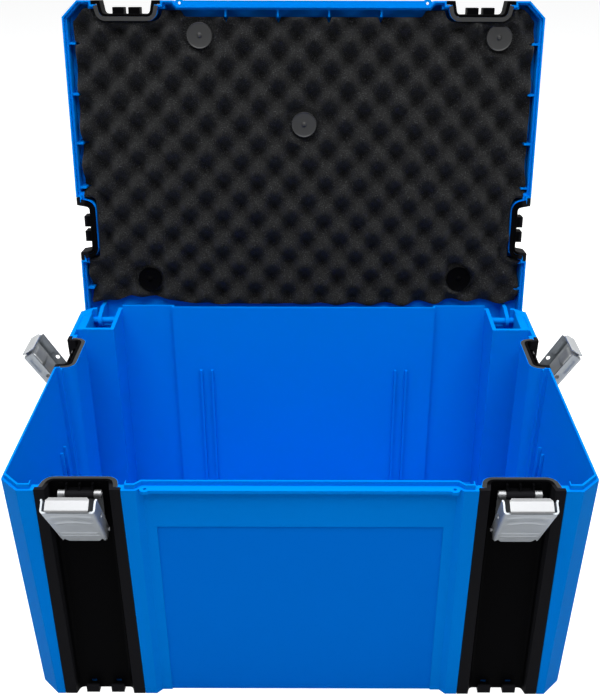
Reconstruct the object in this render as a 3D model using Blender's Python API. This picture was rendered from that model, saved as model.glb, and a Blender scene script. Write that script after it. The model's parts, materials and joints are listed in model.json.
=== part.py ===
"""Stackable tool case with its lid open: tub, rails, four draw latches, lid, foam liner and handle.

Sizes are in millimetres and are turned into metres where a mesh is made. X runs to the right,
Y to the back and Z up; the origin is the middle of the underside.
"""

import math

import bmesh
import bpy
from mathutils import Matrix, Vector

MM = 0.001
CLEAR = 0.3  # gap between neighbouring pieces
RUNNING = 0.08  # radial clearance of a pin in its bore

# Case
WIDTH = 396.0
FRONT = 139.0  # centre to front face at the rim
RIM = 188.0  # underside to the ledge that carries the lid
DRAFT = 4.4  # inset of each outer face at the underside
WALL = 3.2
FLOOR = 3.0
LEDGE = 1.8  # width of the ledge outside the tongue
TONGUE = 3.5  # height of the tongue above the ledge
CORNER = 13.1  # front corner chamfer
HINGE_Y = 131.5
HINGE_Z = RIM - 10.0
TUB_BACK = HINGE_Y + 5.0
BACK_CUT_X, BACK_CUT_Y = 10.0, 8.0
BACK_STEP_X, BACK_STEP = 114.0, 3.4
PILASTER, PANEL_STEP = 107.0, 4.0
FIELD_HALF, FIELD_DROP, FIELD_DEPTH = 96.0, 33.0, 0.9
LIP_HEIGHT = 2.4
TAB_X, TAB_IN, TAB_R, TAB_HOLE_R = 101.2, 2.0, 3.5, 1.2  # sealing tabs at the lip's ends
TONGUE_GAP = 2.5  # the tongue stops this far beside a rail
BACK_RIBS, RIB_WIDTH, RIB_PROUD, BACK_RIB_TOP = (84.0, 94.0), 2.0, 2.6, 129.0
SIDE_RIBS, SIDE_RIB_TOP = (-7.0, 3.0), 96.0

# Rail channels
CHANNEL_X = 145.2  # front channels from the centre
CHANNEL_Y = 50.9  # side channels behind the centre
CHANNEL_HALF = 28.4
CHANNEL_FLARE = 1.4  # extra half width at the underside
RAIL_DEPTH = 10.6  # front face to the rail's floor
RAIL_WALL = 2.0
CHANNEL_DEPTH = RAIL_DEPTH + RAIL_WALL + CLEAR
RAIL_LIP = 3.0  # thickness of the lips that lie in the front face
MOUTH_HALF, FLOOR_HALF = 21.2, 19.2  # inside of the rail at its mouth and at its floor
RAIL_ROUND = 5.0  # outer radius of the rail's rear corners
RAIL_TOP = RIM + 0.6
BASE_PITCH, BASE_HEIGHT, BASE_SHEET = 18.4, 6.9, 2.2  # stacking hooks at the rail's foot
WINDOW_HALF, WINDOW_LOW, WINDOW_HIGH = 2.2, 4.2, 8.0  # opening behind each stacking hook

# Hinge wells
WELL_IN, WELL_OUT, WELL_NARROW = 166.0, 194.8, 188.5
WELL_FRONT, WELL_BACK = 96.0, TUB_BACK - WALL
WELL_BOTTOM = 140.0
WELL_SLANT = (118.0, 126.0)
SLOT_OUT, SLOT_FLOOR = 185.2, HINGE_Z - 6.6  # the slot floor stops the open lid
HINGE_PIN_R = 2.8
HINGE_PIN_IN, HINGE_PIN_OUT = WELL_IN - 1.9, WELL_NARROW + 0.8
CHEEK_X, CHEEK_THICK, CHEEK_R, CHEEK_FLARE = 182.1, 3.2, 5.5, 4.0

# Latches, measured from the rail's floor
LATCH_PIN_Z = RIM - 8.0
LATCH_PIN_OFF = 3.4
LATCH_PIN_R = 1.45
LATCH_PIN_HALF = 14.9
LUG_HALF, LUG_R = 9.3, 3.2
LUG_RIB, LUG_RIB_PROUD, LUG_RIB_LEAN = 1.3, 4.2, 1.2
BOSS_X, BOSS_DROP, BOSS_R, BOSS_PROUD = 12.5, 3.0, 1.8, 0.6
LINK_LENGTH = 29.0
LINK_SHEET = 1.4
KNUCKLE_R, KNUCKLE_END = 3.0, 14.3
LEVER_PIN_OFF = 3.0
LEVER_PIN_R, LEVER_PIN_HALF = 1.3, 17.2
LINK_ROLL_R, LINK_HALF = 2.6, 13.0
LEVER_REACH, LEVER_TAIL = 52.0, 3.4
TAIL_CORNER, TAIL_EDGE = 1.6, 0.3  # chamfer of the flanges' lower end, clear of the rail as the lever turns
LEVER_TOP_HALF, LEVER_TAIL_HALF = 17.4, 15.6
LEVER_FACE, LEVER_EDGE, LEVER_SHEET = 7.4, -2.1, 1.2
LEVER_HOLE_R, LEVER_HOLE_E, LEVER_HOLE_N = 1.9, 29.0, 0.6
HOOK_HALF, HOOK_START, HOOK_PAST = 13.7, 20.0, 2.0
HOOK_LIP, HOOK_TURN = 2.5, -1.0
FRONT_OPEN, SIDE_OPEN = 33.5, 32.0  # degrees from the closed latch

# Lid, in its closed place
LID_OPEN = 98.0  # degrees
LID_BACK = HINGE_Y + 8.0
LID_HEIGHT = 22.0
LID_TOP = RIM + LID_HEIGHT
LID_GAP = 0.4  # lid's lower edge above the ledge
LID_EDGE = 1.5  # thickness of the lower edge outside the tongue
LID_STEP = RIM + TONGUE + 0.8
LID_SHOULDER, LID_CHAMFER = 4.0, 4.0
LID_PLATE = 5.2
LID_FRONT_RIBS, LID_SIDE_RIBS = (21.1, 64.1), (-105.0, -64.0, -23.0, 15.0, 106.0)
LID_RIB, LID_RIB_DROP = 1.6, 5.0  # thickness, and depth of the ribs' edges inside the rim
CONNECTOR_DEPTH = CHANNEL_DEPTH - CLEAR
TOOTH_HALF, TOOTH_PITCH, TOOTH_PROUD = 4.7, 13.1, 5.3
TOOTH_TOP = LATCH_PIN_Z - LINK_LENGTH + LEVER_REACH - 1.2

# Foam liner
FOAM_BACK = LID_TOP - LID_PLATE - CLEAR
FOAM_VALLEY, FOAM_PEAK = RIM + 9.0, RIM - 1.5
FOAM_GAP = 5.8  # to the lid's side walls
FOAM_WIDTH, FOAM_Y = WIDTH - 2 * (WALL + FOAM_GAP), (-126.0, 119.5)
FOAM_COLUMNS, FOAM_ROWS = 26, 34
FOAM_NOTCH = 2.5  # gap round each connector bay
BUTTONS = ((-86.4, -111.6), (162.4, -110.2), (0.4, -39.1), (-138.5, 97.8), (139.4, 97.0))
BUTTON_R, BUTTON_THICK = 10.5, 3.0

# Folding handle on the lid
HANDLE_HALF, HANDLE_REACH, HANDLE_BAR, HANDLE_THICK = 62.0, 42.0, 11.0, 2.6
HANDLE_RECESS = 4.0
HANDLE_Y = -52.0  # pivot, near the lid's front
HANDLE_PIN_R, HANDLE_PIN_HALF = 0.7, 5.0
HANDLE_PIVOT = 3.4  # pivot to the front of the recess

HALF = WIDTH / 2
LID_LOW = RIM + LID_GAP
LEVER_PIN_Z = LATCH_PIN_Z - LINK_LENGTH
STATIONS = {
    "front_left": (Vector((-CHANNEL_X, -FRONT, 0.0)), 0.0, FRONT_OPEN),
    "front_right": (Vector((CHANNEL_X, -FRONT, 0.0)), 0.0, FRONT_OPEN),
    "left": (Vector((-HALF, CHANNEL_Y, 0.0)), -90.0, SIDE_OPEN),
    "right": (Vector((HALF, CHANNEL_Y, 0.0)), 90.0, SIDE_OPEN),
}


def clear_scene():
    for obj in list(bpy.data.objects):
        bpy.data.objects.remove(obj)


def material(name, colour, metallic, roughness):
    made = bpy.data.materials.new(name)
    made.use_nodes = True
    shader = made.node_tree.nodes["Principled BSDF"]
    shader.inputs["Base Color"].default_value = (*colour, 1.0)
    shader.inputs["Metallic"].default_value = metallic
    shader.inputs["Roughness"].default_value = roughness
    return made


PLASTICS = {
    "blue": ((0.0, 0.10, 0.62), 0.0, 0.38),
    "black": ((0.012, 0.012, 0.014), 0.0, 0.42),
    "steel": ((0.62, 0.63, 0.65), 1.0, 0.34),
    "foam": ((0.016, 0.016, 0.018), 0.0, 0.95),
}


def finish(bm, name, look, place=None):
    """The bmesh as an object with its own material, faces turned outwards."""
    bmesh.ops.recalc_face_normals(bm, faces=bm.faces)
    for vert in bm.verts:
        vert.co *= MM
    mesh = bpy.data.meshes.new(name)
    bm.to_mesh(mesh)
    bm.free()
    obj = bpy.data.objects.new(name, mesh)
    bpy.context.scene.collection.objects.link(obj)
    obj.data.materials.append(material(name, *PLASTICS[look]))
    if place is not None:
        obj.matrix_world = place
    return obj


def loft(rings):
    """A closed body through rings of equal length, capped at both ends."""
    bm = bmesh.new()
    loops = [[bm.verts.new(point) for point in ring] for ring in rings]
    for low, high in zip(loops, loops[1:]):
        for i in range(len(low)):
            j = (i + 1) % len(low)
            bm.faces.new((low[i], low[j], high[j], high[i]))
    bm.faces.new(loops[0][::-1])
    bm.faces.new(loops[-1])
    return bm


def upright(outline, low, high):
    return loft([[(x, y, z) for x, y in outline] for z in (low, high)])


def along_x(profile, start, end):
    return loft([[(x, y, z) for y, z in profile] for x in (start, end)])


def block(x0, x1, y0, y1, z0, z1):
    return upright([(x0, y0), (x1, y0), (x1, y1), (x0, y1)], z0, z1)


def circle(y, z, radius, sides=20):
    turns = [2 * math.pi * i / sides for i in range(sides)]
    return [(y + radius * math.cos(a), z + radius * math.sin(a)) for a in turns]


def boolean(obj, bm, operation, place=None):
    """Joins or cuts obj with a helper body that stays out of the render."""
    helper = finish(bm, f"{obj.name}_{operation.lower()}_{len(obj.modifiers)}", "black", place)
    helper.hide_render = True
    helper.display_type = "WIRE"
    step = obj.modifiers.new(operation, "BOOLEAN")
    step.operation = operation
    step.solver = "EXACT"
    step.object = helper


def inset(outline, distance):
    """The anticlockwise outline moved inwards by a distance, with square mitres."""
    moved = []
    for i, (x, y) in enumerate(outline):
        before, after = Vector(outline[i - 1]), Vector(outline[(i + 1) % len(outline)])
        a = (Vector((x, y)) - before).normalized()
        b = (after - Vector((x, y))).normalized()
        normal_a, normal_b = Vector((-a.y, a.x)), Vector((-b.y, b.x))
        mitre = normal_a + normal_b
        moved.append(Vector((x, y)) + mitre * (2 * distance / mitre.length_squared))
    return [(point.x, point.y) for point in moved]


def fillet(before, corner, after, radius, steps=3):
    """Points of the arc that rounds one corner of an outline."""
    towards, away = ((Vector(point) - Vector(corner)).normalized() for point in (before, after))
    half = towards.angle(away) / 2
    centre = Vector(corner) + (towards + away).normalized() * (radius / math.sin(half))
    ends = [Vector(corner) + arm * (radius / math.tan(half)) - centre for arm in (towards, away)]
    first, last = (math.atan2(end.y, end.x) for end in ends)
    sweep = math.remainder(last - first, 2 * math.pi)
    turns = [first + sweep * i / steps for i in range(steps + 1)]
    return [(centre.x + radius * math.cos(a), centre.y + radius * math.sin(a)) for a in turns]


def bay_section(half, step, depth):
    """Plan of a channel bay, (along, inwards) from left to right: a step for the lips, then the body."""
    mouth = (MOUTH_HALF + RAIL_WALL + CLEAR, step)
    floor = (FLOOR_HALF + RAIL_WALL + CLEAR, depth)
    right = [*fillet((0.0, depth), floor, mouth, RAIL_ROUND + CLEAR), mouth, (half, step), (half, 0.0)]
    return [(-along, inwards) for along, inwards in reversed(right)] + right


def case_outline(shrink, bay, back, step_x):
    """Plan of the case, anticlockwise from the middle of the front, with its four channel bays."""
    x, front, rear = HALF - shrink, -(FRONT - shrink), back - shrink
    right_front = [
        (PILASTER - PANEL_STEP, front + PANEL_STEP),
        (PILASTER, front),
        *[(CHANNEL_X + along, front + inwards) for along, inwards in bay],
        (x - CORNER, front),
        (x, front + CORNER),
        *[(x - inwards, CHANNEL_Y + along) for along, inwards in bay],
        (x, rear - BACK_CUT_Y),
        (x - BACK_CUT_X / 2, rear - BACK_CUT_Y / 2),
        (x - BACK_CUT_X, rear),
        (step_x, rear),
        (step_x, rear - BACK_STEP),
    ]
    return right_front + [(-px, py) for px, py in reversed(right_front)]


def tub_outline(z):
    """Plan of the tub at a height: the faces lean in towards the underside, the bays' floors stay upright."""
    share = 1.0 - z / RIM
    half = CHANNEL_HALF + CHANNEL_FLARE * share
    bay = bay_section(half, RAIL_LIP + CLEAR, CHANNEL_DEPTH - DRAFT * share)
    return case_outline(DRAFT * share, bay, TUB_BACK, BACK_STEP_X)


def tub_inner(z):
    """Plan of the cavity: a wall inside the outline, stepped round the two hinge wells."""
    points = inset(tub_outline(z), WALL)
    count = len(points)
    corner = count // 2 - 5  # first point of the right back corner
    for side, first in ((1, corner), (-1, count - corner - 3)):
        outer, inner = (first, first + 2) if side > 0 else (first + 2, first)
        points[outer] = (points[outer][0], WELL_FRONT - WALL)
        points[first + 1] = (side * (WELL_IN - WALL), WELL_FRONT - WALL)
        points[inner] = (side * (WELL_IN - WALL), points[inner][1])
    return points


def level(outline, z):
    return [(x, y, z) for x, y in outline]


def wall_bar(obj, x0, x1, proud, low, high):
    """A rib on the leaning inner face of the back wall, joined to obj."""
    rings = []
    for z in (low, high):
        face = TUB_BACK - BACK_STEP - DRAFT * (1.0 - z / RIM) - WALL
        rings.append([(x0, face - proud, z), (x1, face - proud, z), (x1, face + 1, z), (x0, face + 1, z)])
    boolean(obj, loft(rings), "UNION")


def side_bar(obj, side, y, proud, low, high):
    """A rib on the leaning inner face of a side wall, joined to obj."""
    rings = []
    for z in (low, high):
        face = HALF - DRAFT * (1.0 - z / RIM) - WALL
        near, far = side * (face - proud), side * (face + 1)
        rings.append([(near, y, z), (far, y, z), (far, y + RIB_WIDTH, z), (near, y + RIB_WIDTH, z)])
    boolean(obj, loft(rings), "UNION")


def lip_and_tabs(obj, low, high, place=None):
    """The lip over the recessed front panel, with a sealing tab and its hole at each end, joined to obj."""
    end, panel = PILASTER - PANEL_STEP, -(FRONT - PANEL_STEP)
    lip = [(-end - 1, panel + 1), (-end + 1, -FRONT), (end - 1, -FRONT), (end + 1, panel + 1)]
    shift = Vector((0, HINGE_Y, HINGE_Z)) if place else Vector()

    def add(outline, bottom, top, operation):
        bm = upright(outline, bottom, top)
        bmesh.ops.translate(bm, verts=bm.verts, vec=-shift)
        boolean(obj, bm, operation, place)

    add(lip, low, high, "UNION")
    for side in (-1, 1):
        middle = (side * TAB_X, TAB_IN - FRONT)
        add(circle(*middle, TAB_R), low, high, "UNION")
        add(circle(*middle, TAB_HOLE_R, 12), low - 1, high + 1, "DIFFERENCE")


def make_tub():
    rings = [
        level(tub_outline(0.0), 0.0),
        level(tub_outline(RIM), RIM),
        level(inset(tub_outline(RIM), LEDGE), RIM),
        level(inset(tub_outline(RIM), LEDGE), RIM + TONGUE),
        level(tub_inner(RIM), RIM + TONGUE),
        level(tub_inner(FLOOR), FLOOR),
    ]
    tub = finish(loft(rings), "tub", "blue")
    above = RIM + TONGUE + 5
    for side in (-1, 1):
        well = [
            (side * WELL_IN, WELL_FRONT),
            (side * WELL_OUT, WELL_FRONT),
            (side * WELL_OUT, WELL_SLANT[0]),
            (side * WELL_NARROW, WELL_SLANT[1]),
            (side * WELL_NARROW, WELL_BACK),
            (side * WELL_IN, WELL_BACK),
        ]
        boolean(tub, upright(well, WELL_BOTTOM, above), "DIFFERENCE")
        slot = sorted((side * WELL_IN, side * SLOT_OUT))
        boolean(tub, block(*slot, WELL_BACK - 2, TUB_BACK + 2, SLOT_FLOOR, above), "DIFFERENCE")
        bore = circle(HINGE_Y, HINGE_Z, HINGE_PIN_R + RUNNING)
        ends = sorted((side * (HINGE_PIN_IN - CLEAR), side * (HINGE_PIN_OUT + CLEAR)))
        boolean(tub, along_x(bore, *ends), "DIFFERENCE")
        for rib in BACK_RIBS:
            middle = side * rib
            wall_bar(tub, middle - RIB_WIDTH / 2, middle + RIB_WIDTH / 2, RIB_PROUD, FLOOR - 1, BACK_RIB_TOP)
        for y in SIDE_RIBS:
            side_bar(tub, side, y, RIB_PROUD, FLOOR - 1, SIDE_RIB_TOP)
        corner = sorted((side * (WELL_IN - WALL - 1), side * (HALF + 1)))
        boolean(tub, block(*corner, CHANNEL_Y, TUB_BACK + 1, RIM, above), "DIFFERENCE")
    for name in STATIONS:
        half = CHANNEL_HALF + TONGUE_GAP
        gap = block(-half, half, -1, CHANNEL_DEPTH + WALL + 1, RIM, above)
        boolean(tub, gap, "DIFFERENCE", station_place(name))
    lip_and_tabs(tub, RIM - LIP_HEIGHT, RIM - 0.01)
    panel = -(FRONT - PANEL_STEP)
    rings = []
    for z in (-1.0, RIM - FIELD_DROP):
        face = panel + DRAFT * (1.0 - z / RIM)
        rings.append(
            [(-FIELD_HALF, face - 2, z), (FIELD_HALF, face - 2, z)]
            + [(FIELD_HALF, face + FIELD_DEPTH, z), (-FIELD_HALF, face + FIELD_DEPTH, z)]
        )
    boolean(tub, loft(rings), "DIFFERENCE")
    for side, name in ((-1, "left"), (1, "right")):
        ends = sorted((side * HINGE_PIN_IN, side * HINGE_PIN_OUT))
        middle = sum(ends) / 2
        place = Matrix.Translation(Vector((middle, HINGE_Y, HINGE_Z)) * MM)
        half = (ends[1] - ends[0]) / 2
        finish(along_x(circle(0, 0, HINGE_PIN_R), -half, half), f"hinge_pin_{name}", "blue", place)


def station_place(name):
    """Frame of a latch: X along the wall, -Y outwards from the front face, Z up."""
    origin, turn, _ = STATIONS[name]
    return Matrix.Translation(origin * MM) @ Matrix.Rotation(math.radians(turn), 4, "Z")


def rail_section(half, shift):
    """Hat section whose lips lie on y = shift, opening towards -Y; its floor stays at one depth."""
    mouth, floor = (MOUTH_HALF, shift), (FLOOR_HALF, RAIL_DEPTH)
    outer_mouth = (MOUTH_HALF + RAIL_WALL, shift + RAIL_LIP)
    outer_floor = (FLOOR_HALF + RAIL_WALL, RAIL_DEPTH + RAIL_WALL)
    right = [
        *fillet((0.0, floor[1]), floor, mouth, RAIL_ROUND - RAIL_WALL),
        mouth,
        (half, shift),
        (half, shift + RAIL_LIP),
        outer_mouth,
        *fillet(outer_mouth, outer_floor, (0.0, outer_floor[1]), RAIL_ROUND),
    ]
    return right + [(-x, y) for x, y in reversed(right)]


def make_rail(name):
    place = station_place(name)
    rings = []
    for z in (0.0, RAIL_TOP):
        share = 1.0 - z / RIM
        half = CHANNEL_HALF + CHANNEL_FLARE * share - CLEAR
        rings.append(level(rail_section(half, DRAFT * share), z))
    rail = finish(loft(rings), f"rail_{name}", "black", place)
    pin_y, behind = RAIL_DEPTH - LATCH_PIN_OFF, RAIL_DEPTH + 1
    turns = [math.pi / 2 + math.pi * i / 8 for i in range(9)]
    lug = [(pin_y + LUG_R * math.cos(a), LATCH_PIN_Z + LUG_R * math.sin(a)) for a in turns]
    lug += [(behind, LATCH_PIN_Z - LUG_R), (behind, LATCH_PIN_Z + LUG_R)]
    boolean(rail, along_x(lug, -LUG_HALF, LUG_HALF), "UNION", place)
    edge, top = RAIL_DEPTH - LUG_RIB_PROUD, RAIL_TOP - LUG_RIB
    rib = [(behind, LATCH_PIN_Z + 1), (edge, LATCH_PIN_Z + 1), (edge, LATCH_PIN_Z + LUG_R)]
    rib += [(edge + LUG_RIB_LEAN, top), (behind, top)]
    for step in (-1, 0, 1):
        middle = step * (LUG_HALF - LUG_RIB / 2)
        boolean(rail, along_x(rib, middle - LUG_RIB / 2, middle + LUG_RIB / 2), "UNION", place)
    nose = RAIL_DEPTH - TOOTH_PROUD
    hook = [(behind, CLEAR), (nose, CLEAR), (nose, BASE_HEIGHT), (nose + BASE_SHEET, BASE_HEIGHT)]
    hook += [(nose + BASE_SHEET, BASE_SHEET), (behind, BASE_SHEET)]
    for side in (-1, 1):
        middle = side * BASE_PITCH / 2
        boolean(rail, along_x(hook, middle - TOOTH_HALF, middle + TOOTH_HALF), "UNION", place)
        sides = (middle - WINDOW_HALF, middle + WINDOW_HALF)
        window = block(*sides, RAIL_DEPTH - 1, behind + RAIL_WALL, WINDOW_LOW, WINDOW_HIGH)
        boolean(rail, window, "DIFFERENCE", place)
        outline = circle(side * BOSS_X, RAIL_TOP - BOSS_DROP, BOSS_R, 12)
        boss = loft([[(x, y, z) for x, z in outline] for y in (RAIL_DEPTH - BOSS_PROUD, behind)])
        boolean(rail, boss, "UNION", place)
    bore = circle(pin_y, LATCH_PIN_Z, LATCH_PIN_R + RUNNING)
    boolean(rail, along_x(bore, -LUG_HALF - 1, LUG_HALF + 1), "DIFFERENCE", place)


def make_latch(name):
    """Pin, link, lever pin, lever and hook of one draw latch in its photographed place."""
    open_angle = math.radians(STATIONS[name][2])
    pin_y = RAIL_DEPTH - LATCH_PIN_OFF
    pin_place = station_place(name) @ Matrix.Translation(Vector((0, pin_y, LATCH_PIN_Z)) * MM)
    finish(
        along_x(circle(0, 0, LATCH_PIN_R), -LATCH_PIN_HALF, LATCH_PIN_HALF),
        f"latch_pin_{name}",
        "steel",
        pin_place,
    )
    roll_y = LATCH_PIN_OFF - LEVER_PIN_OFF
    sheet = (KNUCKLE_R - LINK_SHEET, KNUCKLE_R)
    plate = block(-KNUCKLE_END, KNUCKLE_END, *sheet, -LINK_LENGTH, -LUG_R - LINK_SHEET)
    link = finish(plate, f"latch_link_{name}", "steel", pin_place)
    for side in (-1, 1):
        ends = sorted((side * (LUG_HALF + CLEAR), side * KNUCKLE_END))
        boolean(link, block(*ends, *sheet, -LUG_R - 2 * LINK_SHEET, 0), "UNION", pin_place)
        boolean(link, along_x(circle(0, 0, KNUCKLE_R), *ends), "UNION", pin_place)
    roll = circle(roll_y, -LINK_LENGTH, LINK_ROLL_R)
    boolean(link, along_x(roll, -LINK_HALF, LINK_HALF), "UNION", pin_place)
    bore = circle(0, 0, LATCH_PIN_R + RUNNING)
    boolean(link, along_x(bore, -KNUCKLE_END - 1, KNUCKLE_END + 1), "DIFFERENCE", pin_place)
    bore = circle(roll_y, -LINK_LENGTH, LEVER_PIN_R + RUNNING)
    boolean(link, along_x(bore, -KNUCKLE_END - 1, KNUCKLE_END + 1), "DIFFERENCE", pin_place)

    lever_y = RAIL_DEPTH - LEVER_PIN_OFF
    lever_pin = station_place(name) @ Matrix.Translation(Vector((0, lever_y, LEVER_PIN_Z)) * MM)
    lever_place = lever_pin @ Matrix.Rotation(open_angle, 4, "X")
    finish(
        along_x(circle(0, 0, LEVER_PIN_R), -LEVER_PIN_HALF, LEVER_PIN_HALF),
        f"lever_pin_{name}",
        "steel",
        lever_place,
    )
    rings = []
    widening = (LEVER_TOP_HALF - LEVER_TAIL_HALF) / (LEVER_REACH + LEVER_TAIL)
    for e, edge in ((-LEVER_TAIL, TAIL_EDGE), (-TAIL_CORNER, LEVER_EDGE), (LEVER_REACH, LEVER_EDGE)):
        half = LEVER_TAIL_HALF + widening * (e + LEVER_TAIL)
        inner = half - LEVER_SHEET
        section = [(-half, -LEVER_FACE), (half, -LEVER_FACE), (half, -edge), (inner, -edge)]
        section += [(inner, LEVER_SHEET - LEVER_FACE), (-inner, LEVER_SHEET - LEVER_FACE)]
        section += [(-inner, -edge), (-half, -edge)]
        rings.append(level(section, e))
    lever = finish(loft(rings), f"latch_lever_{name}", "steel", lever_place)
    wide = LEVER_TOP_HALF + 1
    boolean(lever, along_x(circle(0, 0, LEVER_PIN_R + RUNNING), -wide, wide), "DIFFERENCE", lever_place)
    hole = circle(-LEVER_HOLE_N, LEVER_HOLE_E, LEVER_HOLE_R)
    boolean(lever, along_x(hole, -wide, wide), "DIFFERENCE", lever_place)

    near = LEVER_FACE - LEVER_SHEET - CLEAR
    far = near - LEVER_SHEET
    bend = LEVER_REACH + HOOK_PAST
    end, lip = bend + LEVER_SHEET, bend - HOOK_LIP
    turn = -HOOK_TURN - LEVER_SHEET
    profile = [(-near, HOOK_START), (-near, end), (-HOOK_TURN, end), (-HOOK_TURN, lip)]
    profile += [(turn, lip), (turn, bend), (-far, bend), (-far, HOOK_START)]
    finish(along_x(profile, -HOOK_HALF, HOOK_HALF), f"latch_hook_{name}", "steel", lever_place)


def lid_place():
    """Carries closed-lid coordinates, measured from the hinge axis, to the open lid."""
    turn = Matrix.Rotation(math.radians(-LID_OPEN), 4, "X")
    return Matrix.Translation(Vector((0, HINGE_Y, HINGE_Z)) * MM) @ turn


def from_axis(bm):
    for vert in bm.verts:
        vert.co -= Vector((0, HINGE_Y, HINGE_Z))
    return bm


def lid_outline(shrink):
    bay = bay_section(CHANNEL_HALF, max(CLEAR, RAIL_LIP + CLEAR - shrink), CHANNEL_DEPTH - shrink)
    return case_outline(shrink, bay, LID_BACK, BACK_STEP_X - LID_EDGE - CLEAR)


def make_lid(place):
    plate = LID_TOP - LID_PLATE
    rings = [
        level(lid_outline(LID_CHAMFER), LID_TOP),
        level(lid_outline(0.4), LID_TOP - LID_SHOULDER),
        level(lid_outline(0.0), LID_LOW),
        level(inset(lid_outline(0.0), LID_EDGE), LID_LOW),
        level(inset(lid_outline(0.0), LID_EDGE), LID_STEP),
        level(inset(lid_outline(0.0), WALL), LID_STEP),
        level(inset(lid_outline(0.0), WALL), plate),
    ]
    lid = finish(from_axis(loft(rings)), "lid", "blue", place)
    lip_and_tabs(lid, LID_LOW + 0.01, LID_LOW + LIP_HEIGHT, place)
    for side in (-1, 1):
        middle = side * CHEEK_X
        turns = [math.pi + math.pi * i / 10 for i in range(11)]
        arm = [(HINGE_Y + CHEEK_R * math.cos(a), HINGE_Z + CHEEK_R * math.sin(a)) for a in turns]
        front = HINGE_Y - CHEEK_R - CHEEK_FLARE
        arm += [(HINGE_Y + CHEEK_R, plate + 1), (front, plate + 1), (front, RIM)]
        ends = (middle - CHEEK_THICK / 2, middle + CHEEK_THICK / 2)
        boolean(lid, from_axis(along_x(arm, *ends)), "UNION", place)
        bore = circle(HINGE_Y, HINGE_Z, HINGE_PIN_R + RUNNING)
        boolean(lid, from_axis(along_x(bore, ends[0] - 1, ends[1] + 1)), "DIFFERENCE", place)
        low, high = RIM + LID_RIB_DROP, plate + 1
        wall = WALL - 1 - FRONT + PANEL_STEP
        for rib in LID_FRONT_RIBS:
            sides = (side * rib - LID_RIB / 2, side * rib + LID_RIB / 2)
            boolean(lid, from_axis(block(*sides, wall, FOAM_Y[0] - CLEAR, low, high)), "UNION", place)
        ends = sorted((side * (FOAM_WIDTH / 2 + CLEAR), side * (HALF - WALL + 1)))
        for y in LID_SIDE_RIBS:
            rib = block(*ends, y - LID_RIB / 2, y + LID_RIB / 2, low, high)
            boolean(lid, from_axis(rib), "UNION", place)
    recess_half = HANDLE_HALF + CLEAR
    ends = (HANDLE_Y - HANDLE_PIVOT, HANDLE_Y + HANDLE_REACH + CLEAR)
    recess = block(-recess_half, recess_half, *ends, LID_TOP - HANDLE_RECESS, LID_TOP + 2)
    boolean(lid, from_axis(recess), "DIFFERENCE", place)
    pivot_z = LID_TOP - HANDLE_RECESS / 2
    for side in (-1, 1):
        bore = circle(HANDLE_Y, pivot_z, HANDLE_PIN_R + RUNNING)
        ends = sorted((side * (HANDLE_HALF - 1), side * (HANDLE_HALF + HANDLE_PIN_HALF + CLEAR)))
        boolean(lid, from_axis(along_x(bore, *ends)), "DIFFERENCE", place)
    for name, (origin, turn, _) in STATIONS.items():
        make_connector(name, origin, turn, place)
    make_handle(place, pivot_z)


def make_connector(name, origin, turn, place):
    """Black connector of the lid: a channel with two teeth that the hook draws down."""
    frame = Matrix.Translation(origin) @ Matrix.Rotation(math.radians(turn), 4, "Z")
    bm = upright(rail_section(CHANNEL_HALF - CLEAR, 0.0), LID_LOW + CLEAR, LID_TOP - LID_SHOULDER)
    bm.transform(frame)
    connector = finish(from_axis(bm), f"lid_connector_{name}", "black", place)
    for side in (-1, 1):
        middle = side * TOOTH_PITCH / 2
        sides = (middle - TOOTH_HALF, middle + TOOTH_HALF)
        tooth = block(*sides, RAIL_DEPTH - TOOTH_PROUD, RAIL_DEPTH + 1, LID_LOW + 1.5, TOOTH_TOP)
        tooth.transform(frame)
        boolean(connector, from_axis(tooth), "UNION", place)


def make_handle(place, pivot_z):
    """Flat folding handle in the recess of the lid's top, turned on two short pins."""
    low, high = pivot_z - HANDLE_THICK / 2, pivot_z + HANDLE_THICK / 2
    half, bar, reach = HANDLE_HALF - CLEAR, HANDLE_BAR, HANDLE_REACH - CLEAR
    tail = HANDLE_Y - HANDLE_THICK / 2
    grip = HANDLE_Y + reach
    inner, under = half - bar, grip - bar
    right = [(inner - 4, under), (inner, under - 4), (inner, tail), (half, tail)]
    right += [(half, grip - 8), (half - 8, grip)]
    outline = right + [(-x, y) for x, y in reversed(right)]
    pivot = place @ Matrix.Translation(Vector((0, HANDLE_Y - HINGE_Y, pivot_z - HINGE_Z)) * MM)
    bm = upright(outline, low, high)
    for vert in bm.verts:
        vert.co -= Vector((0, HANDLE_Y, pivot_z))
    handle = finish(bm, "carry_handle", "black", pivot)
    for side, name in ((-1, "left"), (1, "right")):
        ends = sorted((side * (HANDLE_HALF - HANDLE_PIN_HALF), side * (HANDLE_HALF + HANDLE_PIN_HALF)))
        bore = along_x(circle(0, 0, HANDLE_PIN_R + RUNNING), ends[0] - CLEAR, ends[1] + CLEAR)
        boolean(handle, bore, "DIFFERENCE", pivot)
        finish(along_x(circle(0, 0, HANDLE_PIN_R, 12), *ends), f"handle_pin_{name}", "steel", pivot)


def foam_height(column, row, x, y):
    """Egg-crate height: crests and hollows alternate, and it stays low over the hinge wells."""
    if abs(x) > WELL_IN - 2 * WALL and y > WELL_FRONT - 4 * WALL:
        return FOAM_VALLEY
    if row % 2:
        return (FOAM_VALLEY + FOAM_PEAK) / 2
    crest = (column + row // 2) % 2 == 0
    return FOAM_PEAK if crest else FOAM_VALLEY


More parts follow.
